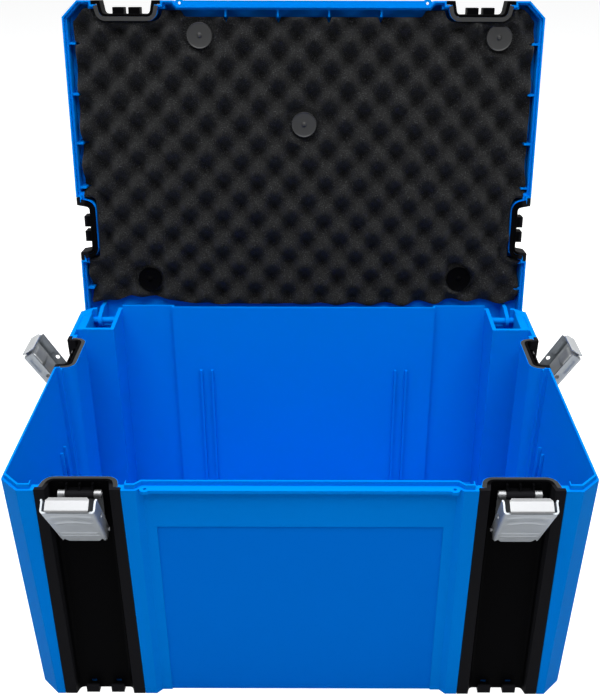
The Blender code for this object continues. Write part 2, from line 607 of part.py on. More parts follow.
def make_foam(place):
    reach_x = HALF - CONNECTOR_DEPTH - WALL - FOAM_NOTCH
    reach_y = -(FRONT - CONNECTOR_DEPTH - WALL - FOAM_NOTCH)
    bay = CHANNEL_HALF + WALL + FOAM_NOTCH
    edge = FOAM_WIDTH / 2

    def snapped(values, lines):
        for line in lines:
            nearest = min(range(len(values)), key=lambda i: abs(values[i] - line))
            values[nearest] = line
        return values

    step = FOAM_WIDTH / FOAM_COLUMNS
    xs = [-edge + step * i for i in range(FOAM_COLUMNS + 1)]
    xs = snapped(xs, [side * line for side in (-1, 1) for line in (reach_x, CHANNEL_X - bay)])
    step = (FOAM_Y[1] - FOAM_Y[0]) / FOAM_ROWS
    ys = [FOAM_Y[0] + step * i for i in range(FOAM_ROWS + 1)]
    ys = snapped(ys, [reach_y, CHANNEL_Y - bay, CHANNEL_Y + bay])

    def inside(x, y):
        front_bay = y < reach_y and abs(abs(x) - CHANNEL_X) < bay
        side_bay = abs(x) > reach_x and abs(y - CHANNEL_Y) < bay
        return not (front_bay or side_bay)

    bm = bmesh.new()
    tops, backs = {}, {}
    for i, x in enumerate(xs):
        for j, y in enumerate(ys):
            tops[i, j] = bm.verts.new((x, y, foam_height(i, j, x, y)))
            backs[i, j] = bm.verts.new((x, y, FOAM_BACK))
    back_faces = []
    cells = {
        (i, j)
        for i in range(FOAM_COLUMNS)
        for j in range(FOAM_ROWS)
        if inside((xs[i] + xs[i + 1]) / 2, (ys[j] + ys[j + 1]) / 2)
    }
    seat = BUTTON_R + CLEAR
    for i, j in cells:
        corners = [(i, j), (i + 1, j), (i + 1, j + 1), (i, j + 1)]
        for bx, by in BUTTONS:
            if xs[i] < bx + seat and xs[i + 1] > bx - seat and ys[j] < by + seat and ys[j + 1] > by - seat:
                for corner in corners:
                    tops[corner].co.z = FOAM_VALLEY
        bm.faces.new([tops[c] for c in corners])
        back_faces.append(bm.faces.new([backs[c] for c in reversed(corners)]))
        neighbours = [(i, j - 1), (i + 1, j), (i, j + 1), (i - 1, j)]
        for k, neighbour in enumerate(neighbours):
            if neighbour not in cells:
                a, b = corners[k], corners[(k + 1) % 4]
                bm.faces.new((tops[b], tops[a], backs[a], backs[b]))
    loose = [vert for vert in bm.verts if not vert.link_faces]
    bmesh.ops.delete(bm, geom=loose, context="VERTS")
    bmesh.ops.dissolve_faces(bm, faces=back_faces, use_verts=False)
    finish(from_axis(bm), "foam_liner", "foam", place)
    for number, (x, y) in enumerate(BUTTONS, 1):
        turns = [2 * math.pi * k / 24 for k in range(24)]
        base = FOAM_VALLEY - CLEAR
        steps = [(BUTTON_R, 0.0), (BUTTON_R, 1.4), (BUTTON_R - 2.5, BUTTON_THICK)]
        steps += [(3.0, BUTTON_THICK), (2.2, BUTTON_THICK - 1.2)]
        rings = [
            [(x + radius * math.cos(a), y + radius * math.sin(a), base - drop) for a in turns]
            for radius, drop in steps
        ]
        finish(from_axis(loft(rings)), f"foam_button_{number}", "black", place)


clear_scene()
make_tub()
for station in STATIONS:
    make_rail(station)
    make_latch(station)
opened = lid_place()
make_lid(opened)
make_foam(opened)
bpy.context.view_layer.update()
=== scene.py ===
# %% [markdown]
# # A stacking tool case with its lid open
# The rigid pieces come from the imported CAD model, which is loaded as a fixed frame. This file gives
# them their finishes, rounds their moulded edges, and models what CAD leaves plain: the egg-crate foam
# in the lid, the pressed sheet of the draw latches, and the small mouldings round the rim.

# %% Load the frame
import json
import math

import bmesh
import bpy
from mathutils import Matrix, Vector


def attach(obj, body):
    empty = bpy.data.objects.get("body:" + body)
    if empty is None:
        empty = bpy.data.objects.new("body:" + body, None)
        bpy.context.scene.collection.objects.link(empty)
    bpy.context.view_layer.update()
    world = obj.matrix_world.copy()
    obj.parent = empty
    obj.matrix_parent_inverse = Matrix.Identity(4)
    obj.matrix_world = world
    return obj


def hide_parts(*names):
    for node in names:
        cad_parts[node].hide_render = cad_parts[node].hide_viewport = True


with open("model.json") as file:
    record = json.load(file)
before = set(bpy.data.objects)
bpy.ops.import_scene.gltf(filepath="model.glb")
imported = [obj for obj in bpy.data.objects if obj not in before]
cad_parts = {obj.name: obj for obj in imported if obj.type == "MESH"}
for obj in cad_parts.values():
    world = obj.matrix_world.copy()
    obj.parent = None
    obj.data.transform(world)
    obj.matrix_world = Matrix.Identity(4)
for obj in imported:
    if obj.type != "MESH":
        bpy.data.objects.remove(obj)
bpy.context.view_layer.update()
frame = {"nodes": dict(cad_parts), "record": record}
nodes = frame["nodes"]
MM = 0.001
print("loaded", len(nodes), "CAD nodes")

# %% [markdown]
# ## The camera
# The photograph looks down on the open case from the front, a little right of its middle. The place,
# tilt and lens below were worked out from the case's corners. The lens is given as a focal length in
# pixels of a 600 by 695 image, so it is turned into Blender's millimetres on the longer side.

# %% Place the camera
IMAGE_WIDTH, IMAGE_HEIGHT = 600, 695
FOCAL_PIXELS, SENSOR = 979.7, 36.0
CENTRE_PIXELS = (312.6, 350.4)
CAMERA_PLACE = Vector((8.1, -657.9, 568.0)) * MM
CAMERA_TILT, CAMERA_ROLL = math.radians(61.954), 0.0022

turn = Matrix.Rotation(CAMERA_TILT, 4, "X") @ Matrix.Rotation(CAMERA_ROLL, 4, "Z")
bpy.ops.object.camera_add(location=CAMERA_PLACE, rotation=turn.to_euler())
camera = bpy.context.object
camera.data.sensor_width = SENSOR
camera.data.lens = FOCAL_PIXELS / IMAGE_HEIGHT * SENSOR
camera.data.shift_x = (IMAGE_WIDTH / 2 - CENTRE_PIXELS[0]) / IMAGE_HEIGHT
camera.data.shift_y = (CENTRE_PIXELS[1] - IMAGE_HEIGHT / 2) / IMAGE_HEIGHT
camera.data.clip_start = 0.01
bpy.context.scene.camera = camera
print("camera lens", round(camera.data.lens, 2), "mm")

# %% [markdown]
# ## Floor and light
# Product photographs of this kind stand on white. The floor and the world are white to the camera and
# to reflections through the Light Path node, so the background is white with no extra light on the
# case, and the floor still takes the case's shadow for everything else. Three large soft lamps do the
# lighting: one above, one from each side of the camera.

# %% A helper that tells what is looked at from what only lights
def seen_directly(tree):
    """A socket that is 1 for rays that show the background: to the eye, in gloss and through glass."""
    rays = tree.nodes.new("ShaderNodeLightPath")
    total = rays.outputs["Is Camera Ray"]
    for kind in ("Is Glossy Ray", "Is Transmission Ray"):
        larger = tree.nodes.new("ShaderNodeMath")
        larger.operation = "MAXIMUM"
        tree.links.new(total, larger.inputs[0])
        tree.links.new(rays.outputs[kind], larger.inputs[1])
        total = larger.outputs[0]
    return total


# %% Make the white floor
FLOOR_SIZE, FLOOR_LEVEL = 8.0, -0.0006
bpy.ops.object.select_all(action="DESELECT")
bpy.ops.mesh.primitive_plane_add(size=FLOOR_SIZE, location=(0.0, 0.0, FLOOR_LEVEL))
floor = bpy.context.object
floor.name = "floor"

floor_paint = bpy.data.materials.new("white_floor")
floor_paint.use_nodes = True
tree = floor_paint.node_tree
tree.nodes.clear()
output = tree.nodes.new("ShaderNodeOutputMaterial")
matte = tree.nodes.new("ShaderNodeBsdfDiffuse")
matte.inputs["Color"].default_value = (0.5, 0.5, 0.5, 1.0)
glow = tree.nodes.new("ShaderNodeEmission")
glow.inputs["Strength"].default_value = 0.85
both = tree.nodes.new("ShaderNodeAddShader")
tree.links.new(matte.outputs[0], both.inputs[0])
tree.links.new(glow.outputs[0], both.inputs[1])
choose = tree.nodes.new("ShaderNodeMixShader")
tree.links.new(seen_directly(tree), choose.inputs[0])
tree.links.new(matte.outputs[0], choose.inputs[1])
tree.links.new(both.outputs[0], choose.inputs[2])
tree.links.new(choose.outputs[0], output.inputs["Surface"])
floor.data.materials.append(floor_paint)
print("floor", FLOOR_SIZE, "m wide")

# %% Make the world white to the eye and gentle as a light
world = bpy.data.worlds.new("studio")
bpy.context.scene.world = world
world.use_nodes = True
tree = world.node_tree
tree.nodes.clear()
output = tree.nodes.new("ShaderNodeOutputWorld")
ambient = tree.nodes.new("ShaderNodeBackground")
ambient.inputs["Color"].default_value = (0.93, 0.96, 1.0, 1.0)
ambient.inputs["Strength"].default_value = 0.14
white = tree.nodes.new("ShaderNodeBackground")
white.inputs["Strength"].default_value = 1.0
choose = tree.nodes.new("ShaderNodeMixShader")
tree.links.new(seen_directly(tree), choose.inputs[0])
tree.links.new(ambient.outputs[0], choose.inputs[1])
tree.links.new(white.outputs[0], choose.inputs[2])
tree.links.new(choose.outputs[0], output.inputs["Surface"])

bpy.context.scene.view_settings.view_transform = "Standard"
print("world", world.name, "seen as", bpy.context.scene.view_settings.view_transform)


# %% Hang the lamps
def soft_lamp(name, place, aim, size, watts):
    """A square area lamp at a place, turned to face a point."""
    direction = Vector(aim) - Vector(place)
    facing = direction.to_track_quat("-Z", "Y").to_euler()
    bpy.ops.object.light_add(type="AREA", location=place, rotation=facing)
    lamp = bpy.context.object
    lamp.name = name
    lamp.data.size = size
    lamp.data.energy = watts


soft_lamp("top_lamp", (0.0, -0.24, 1.6), (0.0, 0.05, 0.15), size=1.7, watts=50.0)
soft_lamp("left_lamp", (-1.4, -1.1, 0.9), (0.0, 0.0, 0.2), size=1.0, watts=3.4)
soft_lamp("right_lamp", (1.5, -1.0, 0.8), (0.0, 0.0, 0.2), size=1.0, watts=3.1)

# %% [markdown]
# ## Finishes
# Seven finishes dress the case: satin blue plastic, satin black plastic, a smoother black, three shades
# of zinc-plated steel, and black open-cell foam. Each is a Principled shader whose colour, roughness or
# relief comes from noise in Object coordinates, because every piece sits at the origin and the grain
# then keeps one size all over the case.


# %% A helper that starts a finish
def start_finish(name, colour, metallic, roughness, specular=0.5):
    """A material with a Principled shader; returns it with its node tree, shader and coordinates."""
    made = bpy.data.materials.new(name)
    made.use_nodes = True
    tree = made.node_tree
    shader = tree.nodes["Principled BSDF"]
    shader.inputs["Base Color"].default_value = (*colour, 1.0)
    shader.inputs["Metallic"].default_value = metallic
    shader.inputs["Roughness"].default_value = roughness
    shader.inputs["Specular IOR Level"].default_value = specular
    place = tree.nodes.new("ShaderNodeTexCoord")
    return made, tree, shader, place


# %% Helpers for noise, for spreading a value and for fine relief
def add_noise(tree, place, scale, detail=3.0, roughness=0.55):
    """A noise texture in Object coordinates, scale in features per metre."""
    noise = tree.nodes.new("ShaderNodeTexNoise")
    noise.inputs["Scale"].default_value = scale
    noise.inputs["Detail"].default_value = detail
    noise.inputs["Roughness"].default_value = roughness
    tree.links.new(place.outputs["Object"], noise.inputs["Vector"])
    return noise


def add_ramp(tree, source, low, high, start=0.0, end=1.0):
    """Spreads a value that runs from start to end between two numbers."""
    spread = tree.nodes.new("ShaderNodeMapRange")
    spread.inputs["From Min"].default_value = start
    spread.inputs["From Max"].default_value = end
    spread.inputs["To Min"].default_value = low
    spread.inputs["To Max"].default_value = high
    tree.links.new(source, spread.inputs["Value"])
    return spread.outputs[0]


def add_bump(tree, shader, height, strength, depth):
    """Turns a texture into fine relief on the shader's normal, depth in metres."""
    bump = tree.nodes.new("ShaderNodeBump")
    bump.inputs["Strength"].default_value = strength
    bump.inputs["Distance"].default_value = depth
    tree.links.new(height, bump.inputs["Height"])
    tree.links.new(bump.outputs["Normal"], shader.inputs["Normal"])


# %% Helpers for sums and for mixed colours
def sum_up(tree, operation, first, second):
    """One step of arithmetic between two sockets, or a socket and a number."""
    step = tree.nodes.new("ShaderNodeMath")
    step.operation = operation
    for socket, value in zip(step.inputs, (first, second)):
        if isinstance(value, float):
            socket.default_value = value
        else:
            tree.links.new(value, socket)
    return step.outputs[0]


def mix_colours(tree, shader, factor, first, second):
    """Feeds the base colour from two colours, mixed by a texture."""
    mix = tree.nodes.new("ShaderNodeMix")
    mix.data_type = "RGBA"
    mix.inputs["A"].default_value = (*first, 1.0)
    mix.inputs["B"].default_value = (*second, 1.0)
    tree.links.new(factor, mix.inputs["Factor"])
    tree.links.new(mix.outputs["Result"], shader.inputs["Base Color"])
    return mix


# %% [markdown]
# The sunk field on the front is painted a darker blue, as painted shade for its recess under the lip. A
# mask in Object coordinates picks it out:
# its width, its height, and a plane that leans like the front wall.

# %% Blue moulded plastic
FIELD_HALF, FIELD_TOP, FIELD_PLANE, FIELD_LEAN = 0.0956, 0.1546, -0.1287, 0.0234
BLUE, SHADED_FIELD_BLUE = (0.0, 0.19, 0.69), (0.0, 0.148, 0.655)
CLOUD_BLUES = (0.0, 0.183, 0.67), (0.0, 0.197, 0.71)
blue_plastic, tree, shader, place = start_finish("blue_plastic", BLUE, 0.0, 0.38, 0.002)
cloud = add_noise(tree, place, 9.0, 2.0)
plain = mix_colours(tree, shader, cloud.outputs["Fac"], *CLOUD_BLUES)
split = tree.nodes.new("ShaderNodeSeparateXYZ")
tree.links.new(place.outputs["Object"], split.inputs[0])
slant = sum_up(tree, "MULTIPLY", split.outputs["Z"], FIELD_LEAN)
level = sum_up(tree, "ADD", split.outputs["Y"], slant)
narrow = sum_up(tree, "LESS_THAN", sum_up(tree, "ABSOLUTE", split.outputs["X"], 0.0), FIELD_HALF)
below = sum_up(tree, "LESS_THAN", split.outputs["Z"], FIELD_TOP)
outer = sum_up(tree, "LESS_THAN", level, FIELD_PLANE)
inside = sum_up(tree, "MULTIPLY", sum_up(tree, "MULTIPLY", narrow, below), outer)
# painted shade: the sunk field takes the darker blue
field = mix_colours(tree, shader, inside, BLUE, SHADED_FIELD_BLUE)
tree.links.new(plain.outputs["Result"], field.inputs["A"])
grain = add_noise(tree, place, 2600.0, 2.0)
tree.links.new(add_ramp(tree, grain.outputs["Fac"], 0.28, 0.42), shader.inputs["Roughness"])
add_bump(tree, shader, grain.outputs["Fac"], 0.12, 0.0002)
print("made", blue_plastic.name)

# %% [markdown]
# The black rails' outer faces are painted paler than their channels: painted light on the faces turned
# to the lamps, and painted shade inside the channels. A point takes the paler black where it lies at
# the case's outside, by its Object coordinates.

# %% Black moulded plastic
BLACK, SHADED_INNER_BLACK = (0.0015, 0.0015, 0.002), (0.0018, 0.0018, 0.0021)
LIT_OUTER_BLACK = (0.009, 0.009, 0.0105)
OUTER_X, OUTER_Y = (0.19, 0.192), (-0.1335, -0.1315)
black_plastic, tree, shader, place = start_finish("black_plastic", BLACK, 0.0, 0.45, 0.006)
split = tree.nodes.new("ShaderNodeSeparateXYZ")
tree.links.new(place.outputs["Object"], split.inputs[0])
outer_side = sum_up(tree, "ABSOLUTE", split.outputs["X"], 0.0)
beside = add_ramp(tree, outer_side, 0.0, 1.0, *OUTER_X)
before = add_ramp(tree, split.outputs["Y"], 1.0, 0.0, *OUTER_Y)
lit_outer = sum_up(tree, "MAXIMUM", beside, before)
# painted light on the rails' outer faces, painted shade in their channels
mix_colours(tree, shader, lit_outer, SHADED_INNER_BLACK, LIT_OUTER_BLACK)
grain = add_noise(tree, place, 2200.0, 2.0)
tree.links.new(add_ramp(tree, grain.outputs["Fac"], 0.32, 0.5), shader.inputs["Roughness"])
add_bump(tree, shader, grain.outputs["Fac"], 0.15, 0.0002)
print("made", black_plastic.name)

# %% [markdown]
# The rails' rims, the rims of the front connectors and the three buttons nearer the lid's front are a
# smoother black, which shows more sheen. The two rear buttons keep the darker satin black as painted
# shade, for the pits in the foam they sit in.

# %% Smoother black
sheen_black, tree, shader, place = start_finish("sheen_black", (0.016, 0.0165, 0.017), 0.0, 0.4, 0.4)
grain = add_noise(tree, place, 1800.0, 2.0)
tree.links.new(add_ramp(tree, grain.outputs["Fac"], 0.3, 0.46), shader.inputs["Roughness"])
mix_colours(tree, shader, grain.outputs["Fac"], (0.013, 0.0135, 0.014), (0.019, 0.0195, 0.02))
print("made", sheen_black.name)

# %% [markdown]
# The zinc plate catches the light differently from piece to piece, so it has three shades: one for the
# pins, links and front hooks, a duller one for the levers, and a paler one for the side hooks.


# %% Zinc-plated steel
def make_zinc(name, low, high, smooth, rough):
    """A zinc-plated sheet whose shade and roughness drift a little over its surface."""
    made, tree, shader, place = start_finish(name, low, 1.0, rough)
    cloud = add_noise(tree, place, 120.0, 4.0)
    mix_colours(tree, shader, cloud.outputs["Fac"], low, high)
    spread = add_ramp(tree, cloud.outputs["Fac"], smooth, rough)
    tree.links.new(spread, shader.inputs["Roughness"])
    scratches = add_noise(tree, place, 900.0, 3.0)
    add_bump(tree, shader, scratches.outputs["Fac"], 0.08, 0.0002)
    return made


zinc_steel = make_zinc("zinc_steel", (0.18, 0.184, 0.19), (0.23, 0.234, 0.24), 0.36, 0.5)
dull_zinc = make_zinc("dull_zinc", (0.26, 0.28, 0.3), (0.31, 0.33, 0.35), 0.46, 0.6)
pale_zinc = make_zinc("pale_zinc", (0.48, 0.5, 0.515), (0.56, 0.575, 0.59), 0.46, 0.6)
print("made", zinc_steel.name, dull_zinc.name, pale_zinc.name)

# %% [markdown]
# Open-cell foam is nearly black, with paler flecks where the cells' walls catch the light.

# %% Open-cell foam
open_foam, tree, shader, place = start_finish("open_foam", (0.012, 0.012, 0.013), 0.0, 0.95, 0.08)
cells = add_noise(tree, place, 950.0, 4.0, 0.7)
fleck = add_ramp(tree, cells.outputs["Fac"], 0.0, 1.0, 0.52, 0.74)
mix_colours(tree, shader, fleck, (0.004, 0.0042, 0.0044), (0.068, 0.07, 0.072))
add_bump(tree, shader, cells.outputs["Fac"], 0.6, 0.0006)
shader.inputs["Sheen Weight"].default_value = 0.06
shader.inputs["Sheen Roughness"].default_value = 0.6
print("made", open_foam.name)

# %% [markdown]
# ## Dressing the CAD pieces
# The CAD nodes whose shape is right stay. Each gets its finish, and a short stack of modifiers gives
# its edges the small radius that moulding and pressing leave: Weld joins the loose triangles, a planar
# Decimate clears the flat ones, and Bevel rounds what is left.

# %% Give each CAD node a finish and rounded edges
FINISHES = {"blue": blue_plastic, "black": black_plastic, "steel": zinc_steel, "foam": open_foam}
EDGE_RADIUS = {"blue": 0.9, "black": 0.45, "steel": 0.25, "foam": 0.0}
slots = {part["node"]: part["material_slot"] for part in frame["record"]["subparts"]}


def round_edges(obj, radius):
    """Weld, planar decimate and bevel, all live, on a CAD node."""
    weld = obj.modifiers.new("weld", "WELD")
    weld.merge_threshold = 0.00001
    flat = obj.modifiers.new("flat", "DECIMATE")
    flat.decimate_type = "DISSOLVE"
    flat.angle_limit = math.radians(1.0)
    bevel = obj.modifiers.new("edge", "BEVEL")
    bevel.width = radius * MM
    bevel.segments = 2
    bevel.limit_method = "ANGLE"
    bevel.angle_limit = math.radians(28.0)
    smooth = obj.modifiers.new("normals", "WEIGHTED_NORMAL")
    smooth.keep_sharp = True


for name, obj in nodes.items():
    finish = slots[name]
    obj.data.materials.clear()
    obj.data.materials.append(FINISHES[finish])
    if EDGE_RADIUS[finish]:
        round_edges(obj, EDGE_RADIUS[finish])
        for polygon in obj.data.polygons:
            polygon.use_smooth = True
print("dressed", len(nodes), "nodes")

# %% [markdown]
# ## The egg-crate foam
# The liner is one sheet of convoluted foam: rounded crests and hollows, each crest set between the
# crests of the next row. A fine grid is cut away round the connector bays, pulled out to its thickness,
# and its face is then pushed into the egg-crate shape by the sum of two crossed cosine waves. The work
# is done in the closed lid's place, and the finished sheet is turned open.

# %% The lid's closed place and its hinge
HINGE = Vector((0.0, 131.5, 178.0)) * MM
LID_OPEN = math.radians(98.0)
open_lid = Matrix.Translation(HINGE) @ Matrix.Rotation(-LID_OPEN, 4, "X") @ Matrix.Translation(-HINGE)
print("lid opened by", round(math.degrees(LID_OPEN)), "degrees")

# %% [markdown]
# The outline is given as a distance in mm: how far a point lies inside the foam. It keeps clear of the
# connector bays and of the lid's ribs, and its edges waver a little, as cut foam does.

# %% The foam's sizes, in the closed lid
FOAM_BACK, FOAM_SEAT, FOAM_HOLLOW, FOAM_CREST = 204.4, 197.2, 201.6, 186.8
BUTTONS = ((-86.4, -111.6), (162.4, -110.2), (0.4, -39.1), (-138.5, 97.8), (139.4, 97.0))
BUTTON_R = 10.5
LID_FRONT_RIBS, LID_SIDE_RIBS = (21.1, 64.1), (-105.0, -64.0, -23.0, 15.0, 106.0)
FRONT_NOTCH, SIDE_NOTCH = (2.3, 5.4), (1.5, 6.0)  # half width and depth of the cuts round the ribs
FRONT_BAY = (144.4, -172.6, 28.0, 50.0, 8.0)  # middle, half sizes and corner of a bay's clear room
SIDE_BAY = (231.4, 50.9, 50.0, 27.8, 4.5)
SIDE_EDGE, SIDE_SPREAD, SIDE_WAVER, RIGHT_REACH = 190.2, 2.0, 0.3, 1.2
FOAM_CORNER, CORNER_CUT, CORNER_SPAN = (189.8, -123.0), (9.3, 9.7), 13.44
LIP_EDGE, LIP_STEP, OUTER_STEP = -126.0, 5.2, 1.6
REAR_EDGE, REAR_RISE, LEFT_SAG, RIGHT_SAG = 119.6, 2.0, 5.2, 2.0
print("foam", round(FOAM_BACK - FOAM_CREST, 1), "mm thick at its crests")


# %% Helpers for distances
def ramp(value, start, end):
    """0 before start, 1 after end, eased between them."""
    share = max(0.0, min(1.0, (value - start) / (end - start)))
    return share * share * (3 - 2 * share)


def outside_box(x, y, half_x, half_y, radius):
    """Distance of a point to a box about the origin with round corners, negative inside it."""
    qx, qy = abs(x) - half_x + radius, abs(y) - half_y + radius
    return math.hypot(max(qx, 0.0), max(qy, 0.0)) + min(max(qx, qy), 0.0) - radius


def outside_bays(x, y):
    """Distance to the nearest connector bay, which the foam is cut round."""
    away = [outside_box(abs(x) - bay[0], y - bay[1], *bay[2:]) for bay in (FRONT_BAY, SIDE_BAY)]
    return min(away)


# %% The foam's outline
def front_edge(x):
    """Where the foam's front edge runs: set back behind the lid's lip, further forward beside it."""
    return LIP_EDGE - LIP_STEP * ramp(abs(x), 98.0, 103.0) - OUTER_STEP * ramp(abs(x), 168.0, 176.0)


def rear_edge(x):
    """The rear edge sags a little on both sides of the middle."""
    sag = ramp(abs(x), 108.0, 144.0) * (1.0 - ramp(abs(x), 154.0, 176.0))
    rise = REAR_RISE * (1.0 - ramp(abs(x), 90.0, 112.0))
    return REAR_EDGE + rise - (LEFT_SAG if x < 0 else RIGHT_SAG) * sag


def foam_inside(x, y):
    """How far a point lies inside the foam's outline, in mm; negative outside it."""
    across = abs(x)
    reach = across - (RIGHT_REACH if x > 0 else 0.0)
    behind = y - FOAM_CORNER[1]
    limit = SIDE_EDGE + SIDE_SPREAD * behind / 240.0 + SIDE_WAVER * math.sin(y / 11.0)
    depth = min(limit - reach, y - front_edge(x), rear_edge(x) - y, outside_bays(x, y))
    corner = (FOAM_CORNER[0] - reach) * CORNER_CUT[0] + behind * CORNER_CUT[1]
    depth = min(depth, corner / CORNER_SPAN)
    for rib in LID_FRONT_RIBS:
        half, deep = FRONT_NOTCH
        depth = min(depth, abs(across - rib) - half * (1.0 - (y - front_edge(x)) / deep))
    for rib in LID_SIDE_RIBS:
        half, deep = SIDE_NOTCH
        depth = min(depth, abs(y - rib) - half * (1.0 - (limit - reach) / deep))
    return depth


# %% The egg-crate height of the foam's face
FIRST_WAVE = (0.032514, 0.032627, 0.7624)  # waves per mm in x and in y, and where they start
SECOND_WAVE = (0.035009, -0.0298, 0.569)
CREST_POWER, CORNER_LOSS = 1.1, 2.6
NEAR_PRESS, FRONT_PRESS, REAR_PRESS = 0.6, 9.0, 4.0  # how far round a button the foam is pressed
BAY_SHARE, BAY_LEVEL = 0.85, 190.0  # beside a bay the hollows are filled towards this level
EDGE_REACH, EDGE_DROP = 2.6, 1.6  # the rounding of the cut edge


def wave(x, y, across, along, start):
    """One of the two crossed waves of the foam's face."""
    return math.cos(2 * math.pi * (across * x + along * y - start))


def foam_face(x, y):
    """Height of the foam's face: two crossed waves make the crests, and the buttons press it flat."""
    rise = (0.5 + 0.25 * (wave(x, y, *FIRST_WAVE) + wave(x, y, *SECOND_WAVE))) ** CREST_POWER
    crest = FOAM_CREST + CORNER_LOSS * ramp(abs(x), 143.0, 157.0) * ramp(y, 70.0, 84.0)
    height = FOAM_HOLLOW + (crest - FOAM_HOLLOW) * rise
    for bx, by in BUTTONS:
        near = math.hypot(x - bx, y - by)
        far = BUTTON_R + (REAR_PRESS if by > 0 else FRONT_PRESS)
        height += (FOAM_SEAT - height) * (1.0 - ramp(near, BUTTON_R + NEAR_PRESS, far))
    bay = 1.0 - ramp(outside_bays(x, y), 1.0, 7.0)
    height -= BAY_SHARE * bay * max(0.0, height - BAY_LEVEL)
    edge = max(0.0, 1.0 - foam_inside(x, y) / EDGE_REACH)
    return height + EDGE_DROP * edge * edge


# %% Model the foam sheet
CELL = 1.6
FOAM_HALF, FOAM_FRONT, FOAM_REAR = 194.4, -134.4, 123.2
bpy.ops.object.select_all(action="DESELECT")
depth = FOAM_REAR - FOAM_FRONT
bpy.ops.mesh.primitive_grid_add(
    x_subdivisions=round(2 * FOAM_HALF / CELL), y_subdivisions=round(depth / CELL), size=1.0
)
foam = bpy.context.object
foam.name = "egg_crate_foam"
foam.scale = (2 * FOAM_HALF * MM, depth * MM, 1.0)
foam.location = (0.0, (FOAM_FRONT + FOAM_REAR) / 2 * MM, FOAM_BACK * MM)
bpy.ops.object.transform_apply(location=True, rotation=True, scale=True)
bpy.ops.object.mode_set(mode="EDIT")
bpy.ops.mesh.select_mode(type="FACE")
bpy.ops.mesh.select_all(action="DESELECT")
shape = bmesh.from_edit_mesh(foam.data)
for face in shape.faces:
    centre = face.calc_center_median() / MM
    face.select = foam_inside(centre.x, centre.y) < 0.0
bmesh.update_edit_mesh(foam.data)
bpy.ops.mesh.delete(type="FACE")
print("foam grid cut to", len(bmesh.from_edit_mesh(foam.data).faces), "cells")

# %% [markdown]
# The grid's border is still a staircase. Each border point is drawn to the true outline along the
# slope of the distance to it, which leaves a clean cut edge. Then the sheet is pulled out to its
# thickness, its face is shaped, and the flat back is merged to one face.

# %% Draw the border to the outline
PROBE = 0.1
shape = bmesh.from_edit_mesh(foam.data)
for vert in shape.verts:
    if any(edge.is_boundary for edge in vert.link_edges):
        for _ in range(2):
            x, y = vert.co.x / MM, vert.co.y / MM
            here = foam_inside(x, y)
            slope_x = (foam_inside(x + PROBE, y) - foam_inside(x - PROBE, y)) / (2 * PROBE)
            slope_y = (foam_inside(x, y + PROBE) - foam_inside(x, y - PROBE)) / (2 * PROBE)
            steep = max(0.2, slope_x * slope_x + slope_y * slope_y)
            move = max(-0.9 * CELL, min(0.9 * CELL, here / steep))
            vert.co.x -= move * slope_x * MM
            vert.co.y -= move * slope_y * MM
bmesh.update_edit_mesh(foam.data)
print("border drawn on", sum(edge.is_boundary for edge in shape.edges), "edges")

# %% Pull the sheet out and shape its face
bpy.ops.mesh.select_all(action="SELECT")
pull = (0.0, 0.0, (FOAM_SEAT - FOAM_BACK) * MM)
bpy.ops.mesh.extrude_region_move(TRANSFORM_OT_translate={"value": pull})
shape = bmesh.from_edit_mesh(foam.data)
for vert in shape.verts:
    if vert.select:
        vert.co.z = foam_face(vert.co.x / MM, vert.co.y / MM) * MM
bmesh.update_edit_mesh(foam.data)
print("face shaped on", sum(vert.select for vert in shape.verts), "points")

# %% Merge the flat back and turn the sheet open
bpy.ops.mesh.select_all(action="DESELECT")
shape = bmesh.from_edit_mesh(foam.data)
for face in shape.faces:
    face.select = all(vert.co.z > (FOAM_BACK - 0.01) * MM for vert in face.verts)
bmesh.update_edit_mesh(foam.data)
bpy.ops.mesh.dissolve_faces()
bpy.ops.mesh.select_all(action="SELECT")
bpy.ops.mesh.normals_make_consistent(inside=False)
bpy.ops.object.mode_set(mode="OBJECT")
foam.matrix_world = open_lid
bpy.ops.object.transform_apply(location=True, rotation=True, scale=True)
bpy.ops.object.shade_smooth_by_angle(angle=math.radians(60.0))
foam.data.materials.append(open_foam)
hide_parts("foam_liner")
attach(foam, "lid")
print("foam faces", len(foam.data.polygons))

# %% [markdown]
# Five round buttons hold the foam. Each is a thin moulded disc with a fine rim and a small nub in the
# middle. One is shaped from a cylinder by insets, and copies are set in the lid.


# %% A helper that softens a master's edges
def soften(obj, width, segments, angle=30.0):
    """Rounds the edges that turn by more than an angle, by a Bevel that is applied."""
    edge = obj.modifiers.new("edge", "BEVEL")
    edge.width = width * MM
    edge.segments = segments
    edge.limit_method = "ANGLE"
    edge.angle_limit = math.radians(angle)
    bpy.ops.object.modifier_apply(modifier=edge.name)


# %% Shape one button
BUTTON_THICK, BUTTON_SUNK = 3.0, 0.5
BUTTON_STEPS = ((0.5, 0.0), (0.35, -0.4), (6.6, -0.25), (0.9, 0.0), (0.7, 1.1), (0.7, 0.2))
bpy.ops.object.select_all(action="DESELECT")
bpy.ops.mesh.primitive_cylinder_add(
    vertices=56,
    radius=BUTTON_R * MM,
    depth=BUTTON_THICK * MM,
    location=(0.0, 0.0, BUTTON_THICK / 2 * MM),
)
button_master = bpy.context.object
bpy.ops.object.transform_apply(location=True, rotation=True, scale=True)
bpy.ops.object.mode_set(mode="EDIT")
bpy.ops.mesh.select_mode(type="FACE")
bpy.ops.mesh.select_all(action="DESELECT")
shape = bmesh.from_edit_mesh(button_master.data)
for face in shape.faces:
    face.select = face.normal.z > 0.9
bmesh.update_edit_mesh(button_master.data)
for width, rise in BUTTON_STEPS:
    bpy.ops.mesh.inset(thickness=width * MM, depth=rise * MM, use_even_offset=True)
bpy.ops.object.mode_set(mode="OBJECT")
soften(button_master, 0.18, 2, angle=25.0)
print("button faces", len(button_master.data.polygons))

# %% [markdown]
# All that repeats is set by one helper: the buttons here, and the latches, rims, shoulders and rib ends
# further down. Each copy has a mesh of its own.


